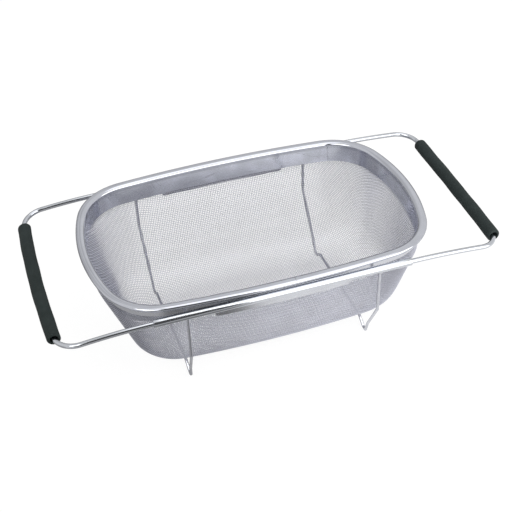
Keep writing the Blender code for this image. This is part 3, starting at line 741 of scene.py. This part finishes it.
def level_points(arcs):
    """Places at equal steps along a quarter of a level, from the middle of its end, with the
    directions that face outwards there."""
    length = sum(radius * (end - start) for _, _, radius, start, end in arcs)
    along = np.linspace(0.0, length, CLOTH_STEPS)
    places, turns, begun = np.zeros((CLOTH_STEPS, 2)), np.zeros(CLOTH_STEPS), 0.0
    for x, y, radius, start, end in arcs:
        here = along >= begun - 1e-12
        turn = start + (along[here] - begun) / radius
        places[here] = np.column_stack([x + radius * np.cos(turn), y + radius * np.sin(turn)])
        turns[here] = turn
        begun += radius * (end - start)
    return places, turns


def drawn_cloth(taper_degrees, bottom_corner):
    """A quarter of the basket as levels of points, and where each point lies in the flat cloth.
    The cloth keeps its length up the walls; round the corners, where a level of the basket is
    shorter than its line in the cloth, the meshes shear and stretch upwards."""
    bend = np.linspace(0.0, pi / 2, 60)
    low = BASKET_UNDERSIDE + END_BEND_RADIUS * (1 - np.cos(bend))
    heights = np.concatenate([low, np.linspace(low[-1], WEAVE_TOP + CLOTH_MARGIN, 61)[1:]])
    basket = np.zeros((len(heights), CLOTH_STEPS, 3))
    cloth = np.zeros((len(heights), CLOTH_STEPS, 2))
    climbed = np.zeros(CLOTH_STEPS)
    for level, height in enumerate(heights):
        places, turns = level_points(basket_arcs(height, taper_degrees, bottom_corner))
        basket[level, :, :2], basket[level, :, 2] = places, height
        if level == 0:
            cloth[0] = places
            continue
        outward = np.column_stack([np.cos(turns), np.sin(turns)])
        sideways = np.column_stack([-np.sin(turns), np.cos(turns)])
        moved = basket[level] - basket[level - 1]
        climb = np.hypot((moved[:, :2] * outward).sum(1), moved[:, 2])
        slid = (moved[:, :2] * sideways).sum(1)
        climbed += climb
        squeeze = (np.linalg.norm(np.gradient(cloth[level - 1], axis=0), axis=1)
                   / np.linalg.norm(np.gradient(basket[level - 1], axis=0), axis=1))
        stretch = np.sqrt(1 + 2 * CORNER_STRETCH * (1 - 1 / np.clip(squeeze, 1.0, 4.0) ** 2))
        row = (cloth[level - 1] + outward * (climb / stretch)[:, None]
               + sideways * (slid * squeeze)[:, None])
        share = min(1.0, climbed.max() / SMOOTHING_CLIMB)
        for weight in (1.0, 0.2):
            before = np.vstack([row[1] * (1, -1), row[:-1]])
            after = np.vstack([row[1:], row[-2] * (-1, 1)])
            row = row + (before + after - 2 * row) * SMOOTHING * weight * share
        cloth[level] = row
    return basket, cloth


def between(table, level, step):
    """Values of a table between its rows and columns, with their changes along both."""
    i = np.clip(level.astype(int), 0, table.shape[0] - 2)
    j = np.clip(step.astype(int), 0, table.shape[1] - 2)
    a, b = (level - i)[:, None], (step - j)[:, None]
    low = table[i, j] * (1 - b) + table[i, j + 1] * b
    high = table[i + 1, j] * (1 - b) + table[i + 1, j + 1] * b
    left = table[i, j] * (1 - a) + table[i + 1, j] * a
    right = table[i, j + 1] * (1 - a) + table[i + 1, j + 1] * a
    return low * (1 - a) + high * a, high - low, right - left


def laid(x, y, basket, cloth):
    """Places on the basket of points of the flat cloth, with x and y positive, and whether the
    basket has them."""
    outline = cloth[0]
    edge = np.interp(np.arctan2(y, x), np.arctan2(outline[:, 1], outline[:, 0]),
                     np.hypot(*outline.T))
    flat = np.hypot(x, y) < edge
    rows, columns = np.arange(0, len(cloth), 6), np.arange(0, CLOTH_STEPS, 4)
    coarse = cloth[rows][:, columns].reshape(-1, 2)
    nearest = np.array([np.argmin((coarse[:, 0] - u) ** 2 + (coarse[:, 1] - v) ** 2)
                        for u, v in zip(x, y)])
    level = rows[nearest // len(columns)].astype(float)
    step = columns[nearest % len(columns)].astype(float)
    for _ in range(FIT_TURNS):
        at, up, on = between(cloth, level, step)
        miss_x, miss_y = x - at[:, 0], y - at[:, 1]
        area = up[:, 0] * on[:, 1] - up[:, 1] * on[:, 0]
        area = np.where(np.abs(area) < 1e-12, 1e-12, area)
        rise = (miss_x * on[:, 1] - miss_y * on[:, 0]) / area
        slide = (up[:, 0] * miss_y - up[:, 1] * miss_x) / area
        level = np.clip(level + np.clip(rise, -6, 6), 0, len(cloth) + 8)
        step = np.clip(step + np.clip(slide, -4, 4), 0, CLOTH_STEPS - 1)
    place = between(basket, level, step)[0]
    place[flat] = np.column_stack([x, y, np.full(len(x), BASKET_UNDERSIDE)])[flat]
    return place, (place[:, 2] <= WEAVE_TOP) & (flat | (np.hypot(miss_x, miss_y) < FIT_TOLERANCE))


def make_net():
    """The wire cloth as a net of square meshes, with its strands in groups: lengthwise and
    crosswise, each split in three."""
    half_x = int(NET_HALF_LENGTH / WIRE_PITCH)
    half_y = int(NET_HALF_WIDTH / WIRE_PITCH)
    column, row = np.meshgrid(np.arange(-half_x, half_x), np.arange(-half_y, half_y), indexing="ij")
    x = (column.ravel() + 0.5) * WIRE_PITCH
    y = (row.ravel() + 0.5) * WIRE_PITCH
    place = np.zeros((len(x), 3))
    inside = np.zeros(len(x), bool)
    for side, taper, corner in ((1, RIGHT_TAPER_DEGREES, RIGHT_CORNER_RADIUS),
                                (-1, LEFT_TAPER_DEGREES, LEFT_CORNER_RADIUS)):
        here = x * side > 0.0
        placed, kept = laid(np.abs(x[here]), np.abs(y[here]), *drawn_cloth(taper, corner))
        placed[:, 0] *= side
        placed[:, 1] *= np.sign(y[here])
        place[here], inside[here] = placed, kept
    place[:, 0] += BODY_SHIFT
    size = 2 * half_y
    grid = inside.reshape(-1, size)
    number = np.arange(len(x)).reshape(-1, size)
    whole = grid[:-1, :-1] & grid[1:, :-1] & grid[1:, 1:] & grid[:-1, 1:]
    faces = np.stack([number[:-1, :-1], number[1:, :-1], number[1:, 1:], number[:-1, 1:]],
                     axis=-1)[whole]
    used = np.unique(faces)
    fresh = np.zeros(len(x), int)
    fresh[used] = np.arange(len(used))
    mesh = new_mesh("net", place[used], faces=fresh[faces].tolist())
    i, j = used // size, used % size
    over = mesh.attributes.new("over", "FLOAT", "POINT")
    over.data.foreach_set("value", np.where((i + j) % 2 == 0, 1.0, -1.0).astype(np.float32))
    edges = np.zeros(len(mesh.edges) * 2, int)
    mesh.edges.foreach_get("vertices", edges)
    first, second = edges.reshape(-1, 2).T
    lengthwise = j[first] == j[second]
    crossing = np.where(lengthwise, y[used][first] / STRAND_SPLIT_Y,
                        x[used][first] / STRAND_SPLIT_X)
    group = np.where(lengthwise, 0, 3) + np.digitize(crossing, (-1.0, 1.0))
    strands = mesh.attributes.new("strand_group", "INT", "EDGE")
    strands.data.foreach_set("value", group.astype(np.int32))
    return mesh


def make_weave():
    net = make_net()
    tree = weave_tree()
    for number, name in enumerate((
            "lengthwise_wires_front", "lengthwise_wires_middle", "lengthwise_wires_rear",
            "crosswise_wires_left", "crosswise_wires_middle", "crosswise_wires_right")):
        depth = WEAVE_DEPTH if name.startswith("lengthwise") else -WEAVE_DEPTH
        strands = grown(name, net, tree, strand_group=number, weave_depth=depth,
                        material=mesh_steel)
        add_piece(name, strands, mesh_steel, "mesh_basket", sharp_degrees=80.0)


# ---- tubes, wires and grips

def make_tube(name, node, side):
    """A tube with rounded lips and a stop dimple below near each mouth, turned about X."""
    end, lip, bore = TUBE_HALF_LENGTH, TUBE_LIP_RADIUS, TUBE_RADIUS - TUBE_WALL
    dimple = end - DIMPLE_FROM_MOUTH
    near = [dimple + DIMPLE_RADIUS * share for share in np.linspace(-1.6, 1.6, 17)]
    plain = list(np.linspace(-dimple + DIMPLE_MARGIN, dimple - DIMPLE_MARGIN, 40))
    outer = sorted([-x for x in near] + near + plain + [-end + lip, end - lip])
    curl = [(sin(radians(turn)), cos(radians(turn)))
            for turn in (22.5, 45.0, 67.5, 90.0)]
    profile = [(x, TUBE_RADIUS) for x in outer]
    profile += [(end - lip + lip * s, TUBE_RADIUS - lip + lip * c) for s, c in curl]
    profile += [(end - lip + lip * c, bore + lip - lip * s) for s, c in curl]
    profile += [(x, bore) for x in outer[::-1][1:-1]]
    profile += [(-end + lip - lip * s, bore + lip - lip * c) for s, c in curl]
    profile += [(-end + lip - lip * c, TUBE_RADIUS - lip + lip * s) for s, c in curl[:-1]]
    rows = []
    for turn in np.linspace(0.0, 2 * pi, TUBE_SIDES + 1)[:-1]:
        from_bottom = TUBE_RADIUS * remainder(turn + pi / 2, 2 * pi)
        row = []
        for x, radius in profile:
            away = hypot(abs(x) - dimple, from_bottom) / (DIMPLE_RADIUS * DIMPLE_SPREAD)
            dented = radius - DIMPLE_DEPTH * max(0.0, 1 - away ** 2) ** 2
            row.append((x + BODY_SHIFT, side * TUBE_PLACE + dented * cos(turn),
                        TUBE_HEIGHT + dented * sin(turn)))
        rows.append(row)
    add_piece(name, ring_mesh(rows, True), tube_steel, node)


def bowed(reach, bow, y):
    """Reach of the cross bar at a place along it."""
    return reach + bow * (1 - (y / TUBE_PLACE) ** 2)


def handle_points(side, reach, bow, tip):
    """Centre line of a handle wire from its front tip round to its rear tip."""
    straight = TUBE_PLACE - ARM_BEND_RADIUS
    corner = reach - ARM_BEND_RADIUS
    front = [(x, -TUBE_PLACE) for x in np.linspace(tip, TUBE_HALF_LENGTH, 20)]
    front += [(x, -TUBE_PLACE) for x in np.linspace(TUBE_HALF_LENGTH, corner, 28)[1:]]
    front += [(corner + ARM_BEND_RADIUS * sin(turn),
               -straight - ARM_BEND_RADIUS * cos(turn))
              for turn in np.linspace(0.0, pi / 2, 25)[1:]]
    bar = [(reach, y) for y in np.linspace(-straight, straight, 50)[1:-1]]
    plan = front + bar + [(x, -y) for x, y in reversed(front)]
    points = []
    for x, y in plan:
        outwards = max(0.0, x - TUBE_HALF_LENGTH) / (reach - TUBE_HALF_LENGTH)
        points.append((side * (x - reach + bowed(reach, bow, y)) + BODY_SHIFT, y,
                       ARM_HEIGHT - ARM_DROOP * outwards ** 2))
    return points


def make_handle(name, side, reach, bow, tip, wires):
    """A handle wire, its two tips flattened inside the tubes."""
    path = path_mesh(handle_points(side, reach, bow, tip))
    mesh = grown(name, path, wires, wire_radius=ARM_RADIUS, wire_sides=ARM_SIDES,
                 material=handle_steel)
    squeeze = TIP_HALF_HEIGHT / ARM_RADIUS - 1
    for vertex in mesh.vertices:
        inwards = (side * (vertex.co.x - BODY_SHIFT) - tip) / TIP_LENGTH
        flat = min(1.0, max(0.0, 2.0 - inwards))
        vertex.co.z = ARM_HEIGHT + (vertex.co.z - ARM_HEIGHT) * (1 + squeeze * flat)
    add_piece(name + "_handle_bar", mesh, handle_steel, name + "_handle_wire", name + "_handle")


def make_grip(name, side, reach, bow, shift):
    """A foam sleeve along the cross bar, with rounded ends and a mouth round the wire."""
    rounding, half = GRIP_END_ROUNDING, GRIP_HALF_LENGTH
    mouth = half - GRIP_MOUTH_DEPTH
    lip = (GRIP_RADIUS - GRIP_MOUTH_RADIUS - rounding) * 0.9
    end = [(half - rounding + rounding * sin(t),
            GRIP_RADIUS - rounding + rounding * cos(t))
           for t in np.linspace(0.0, pi / 2, 9)]
    end += [(half - lip + lip * cos(t), GRIP_MOUTH_RADIUS + lip - lip * sin(t))
            for t in np.linspace(0.0, pi / 2, 6)]
    end += [(half - GRIP_MOUTH_DEPTH * share, GRIP_MOUTH_RADIUS) for share in (0.3, 0.6, 0.9)]
    end += [(mouth, GRIP_MOUTH_RADIUS * 0.97), (mouth, GRIP_BORE_RADIUS)]
    outside = [(y, GRIP_RADIUS) for y in np.linspace(-half + rounding, half - rounding, 90)[1:-1]]
    inside = [(y, GRIP_BORE_RADIUS) for y in np.linspace(mouth, -mouth, 24)[1:-1]]
    profile = outside + end + inside + [(-y, radius) for y, radius in reversed(end)]
    rows = []
    for turn in np.linspace(0.0, 2 * pi, GRIP_SIDES + 1)[:-1]:
        row = []
        for y, radius in profile:
            wave = sin(170 * y + 2 * turn + side) + sin(95 * y - turn)
            soft = radius - GRIP_SOFTNESS
            if radius > GRIP_SOFT_ABOVE:
                soft += GRIP_SOFTNESS * wave
            place = y + shift
            row.append((side * bowed(reach, bow, place) + soft * cos(turn) + BODY_SHIFT,
                        place, ARM_HEIGHT - ARM_DROOP + soft * sin(turn)))
        rows.append(row)
    add_piece(name + "_grip_sleeve", ring_mesh(rows, True), grip_foam, name + "_grip",
              name + "_handle", 60.0)


def rounded_path(corners, radii):
    """The corners joined by straight runs, each corner replaced by an arc of its radius."""
    points = [Vector(corners[0])]
    for before, corner, after, radius in zip(corners, corners[1:], corners[2:], radii):
        start = (Vector(before) - Vector(corner)).normalized()
        end = (Vector(after) - Vector(corner)).normalized()
        half = start.angle(end) / 2
        centre = Vector(corner) + (start + end).normalized() * (radius / sin(half))
        first = Vector(corner) + start * (radius / tan(half))
        arm = first - centre
        axis = start.cross(end).normalized()
        for spin in np.linspace(0.0, -(pi - 2 * half), LEG_BEND_STEPS + 1):
            points.append(centre + arm * cos(spin) + axis.cross(arm) * sin(spin))
    points.append(Vector(corners[-1]))
    return points


def make_leg(name, node, side, wires):
    """A leg wire: down from the front tube, in to a foot, under the basket and up again."""
    half = [(TUBE_PLACE, LEG_TOP_HEIGHT), (TUBE_PLACE, LEG_KNEE_HEIGHT),
            (LEG_BEND_PLACE, LEG_BEND_HEIGHT), (FOOT_OUTER_PLACE, FOOT_CENTRE_HEIGHT),
            (FOOT_INNER_PLACE, FOOT_CENTRE_HEIGHT), (LEG_INNER_PLACE, LEG_UNDER_HEIGHT)]
    fall = LEG_KNEE_HEIGHT - FOOT_CENTRE_HEIGHT
    corners = []
    for end, lean in ((-1, FRONT_FOOT_LEAN), (1, REAR_FOOT_LEAN)):
        leg = []
        for y, z in half:
            share = min(1.0, max(0.0, (LEG_KNEE_HEIGHT - z) / fall))
            leg.append((side * LEG_PLACE + lean * share + BODY_SHIFT, end * y, z))
        corners += leg if end < 0 else reversed(leg)
    bends = [LEG_BEND_RADIUS, LEG_BEND_RADIUS, FOOT_BEND_RADIUS, FOOT_BEND_RADIUS, LEG_BEND_RADIUS]
    path = path_mesh(rounded_path(corners, bends + bends[::-1]))
    mesh = grown(name, path, wires, wire_radius=LEG_RADIUS, wire_sides=LEG_SIDES,
                 material=leg_steel)
    for vertex in mesh.vertices:
        vertex.co.z = max(0.0, vertex.co.z)
    add_piece(name, mesh, leg_steel, node)


make_rim()
make_band()
make_plate("front_plate", "front_tube_plate", -1)
make_plate("rear_plate", "rear_tube_plate", 1)
make_welds()
make_weave()
make_tube("front_tube", "front_slide_tube", -1)
make_tube("rear_tube", "rear_slide_tube", 1)
round_wire = wire_tree()
make_leg("left_leg", "left_leg_wire", -1, round_wire)
make_leg("right_leg", "right_leg_wire", 1, round_wire)
make_handle("left", -1, LEFT_REACH, LEFT_BOW, LEFT_TIP, round_wire)
make_grip("left", -1, LEFT_REACH, LEFT_BOW, LEFT_GRIP_SHIFT)
make_handle("right", 1, RIGHT_REACH, RIGHT_BOW, RIGHT_TIP, round_wire)
make_grip("right", 1, RIGHT_REACH, RIGHT_BOW, RIGHT_GRIP_SHIFT)
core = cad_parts["rim_core_wire"]
core.data.materials.clear()
core.data.materials.append(core_steel)


# ---- floor, light and camera

def flat_sheet(name, corners, material):
    mesh = new_mesh(name, corners, faces=[(0, 1, 2, 3)])
    mesh.materials.append(material)
    return new_object(name, mesh)


def shaded(tree, brightness, changes):
    """A brightness that changes by an amount under each mask."""
    for where, change in changes:
        brightness = calc(tree, "MULTIPLY_ADD", where, change, brightness)
    return brightness


def by_ray(tree, to_camera, to_others):
    """One brightness for the camera and another one for all other rays."""
    ray = add_node(tree, "ShaderNodeLightPath").outputs["Is Camera Ray"]
    return out(tree, "ShaderNodeMix", {0: ray, 2: to_others, 3: to_camera}, data_type="FLOAT")


def make_floor():
    """A white floor that keeps a faint shadow of the object. Painted shade: reflections see it
    darker behind and at the left front, and darkest in a strip there."""
    material, tree = new_material("floor_white")
    x, y, _ = axes(tree, object_place(tree))
    left_front = mask(tree, (calc(tree, "MULTIPLY_ADD", y, 0.2, x), -0.03, -0.07),
                      (x, -0.50, -0.34), (y, -0.06, -0.13))
    back = mask(tree, (calc(tree, "MULTIPLY_ADD", x, -0.45, y), -0.12, -0.02))
    strip = mask(tree, (y, -0.34, -0.27), (y, -0.13, -0.18), (x, 0.04, -0.05), (x, -0.17, -0.10))
    # Painted shade: the floor glows darker to reflections under these masks.
    reflected = shaded(tree, 0.85, [
        (calc(tree, "MAXIMUM", left_front, back), -0.50), (strip, -0.30)])
    paint = out(tree, "ShaderNodeBsdfDiffuse", {"Color": (0.12, 0.12, 0.12, 1.0)})
    glow = out(tree, "ShaderNodeEmission", {
        "Color": WHITE, "Strength": by_ray(tree, 0.90, reflected)})
    both = out(tree, "ShaderNodeAddShader", {0: paint, 1: glow})
    add_node(tree, "ShaderNodeOutputMaterial", {"Surface": both})
    reach = 6.0
    floor = flat_sheet("floor", [(-reach, -reach, 0.0), (reach, -reach, 0.0), (reach, reach, 0.0),
                                 (-reach, reach, 0.0)], material)


def make_world():
    """A plain studio, white to the camera. Reflections see it bright overhead and in one
    corner, dark in front to the left, and greyer behind."""
    world = bpy.data.worlds.new("studio")
    bpy.context.scene.world = world
    world.use_nodes = True
    tree = world.node_tree
    tree.nodes.clear()
    direction = add_node(tree, "ShaderNodeTexCoord").outputs["Generated"]
    x, y, z = axes(tree, direction)
    far_left = mask(tree, (x, -0.45, -0.60), (z, -0.05, 0.10))
    dark = calc(tree, "MULTIPLY", mask(tree, (y, -0.02, -0.20), (x, 0.32, 0.24), (z, 0.93, 0.88)),
                calc(tree, "SUBTRACT", 1.0, far_left))
    behind = mask(tree, (y, 0.45, 0.62), (x, 0.35, -0.10), (z, 0.25, 0.45))
    low_behind = mask(tree, (y, 0.55, 0.68), (z, 0.45, 0.28))
    top = mask(tree, (z, 0.88, 0.93), (x, -0.05, 0.10))
    facing = add_node(tree, "ShaderNodeVectorMath", {0: direction, 1: (-0.40, -0.50, 0.77)},
                      operation="DOT_PRODUCT").outputs["Value"]
    corner = mask(tree, (facing, 0.945, 0.97))
    reflected = shaded(tree, 0.85, [
        (dark, -0.75), (behind, -0.20), (low_behind, -0.45), (top, 0.9), (corner, 3.2)])
    light = out(tree, "ShaderNodeBackground", {
        "Color": WHITE, "Strength": by_ray(tree, 1.0, reflected)})
    add_node(tree, "ShaderNodeOutputWorld", {"Surface": light})


def make_panel():
    """A soft white panel that stands in front to the right; the camera doesn't see it."""
    left, right, place, low, high, strength = 0.08, 1.28, -0.65, 0.01, 1.31, 2.7
    material, tree = new_material("panel_light")
    glow = out(tree, "ShaderNodeEmission", {"Color": WHITE, "Strength": strength})
    add_node(tree, "ShaderNodeOutputMaterial", {"Surface": glow})
    material.cycles.emission_sampling = "NONE"
    panel = flat_sheet("soft_panel", [(left, place, low), (left, place, high), (right, place, high),
                                      (right, place, low)], material)
    panel.visible_camera = False


def make_camera():
    """Camera fitted to the photograph: turn, tilt and roll about a point above the middle."""
    turn, tilt, roll = radians(-17.02), radians(39.89), radians(-2.04)
    distance, slide, rise = 1.06984, 0.00435, -0.00179
    focal_pixels, picture_pixels = 1060.51, 512
    target = Vector((BODY_SHIFT, 0.0, 0.0779))
    back = Vector((sin(turn) * cos(tilt), -cos(turn) * cos(tilt),
                   sin(tilt)))
    level = (-back).cross(Vector((0.0, 0.0, 1.0))).normalized()
    upright = level.cross(-back)
    right = cos(roll) * level + sin(roll) * upright
    up = -sin(roll) * level + cos(roll) * upright
    data = bpy.data.cameras.new("camera")
    data.sensor_width = 36.0
    data.lens = focal_pixels / picture_pixels * data.sensor_width
    data.clip_start = 0.05
    camera = new_object("camera", data)
    matrix = Matrix((right, up, back)).transposed().to_4x4()
    matrix.translation = target + back * distance + right * slide + up * rise
    camera.matrix_world = matrix
    bpy.context.scene.camera = camera


make_floor()
make_world()
make_panel()
make_camera()
bpy.context.scene.view_settings.view_transform = "Standard"
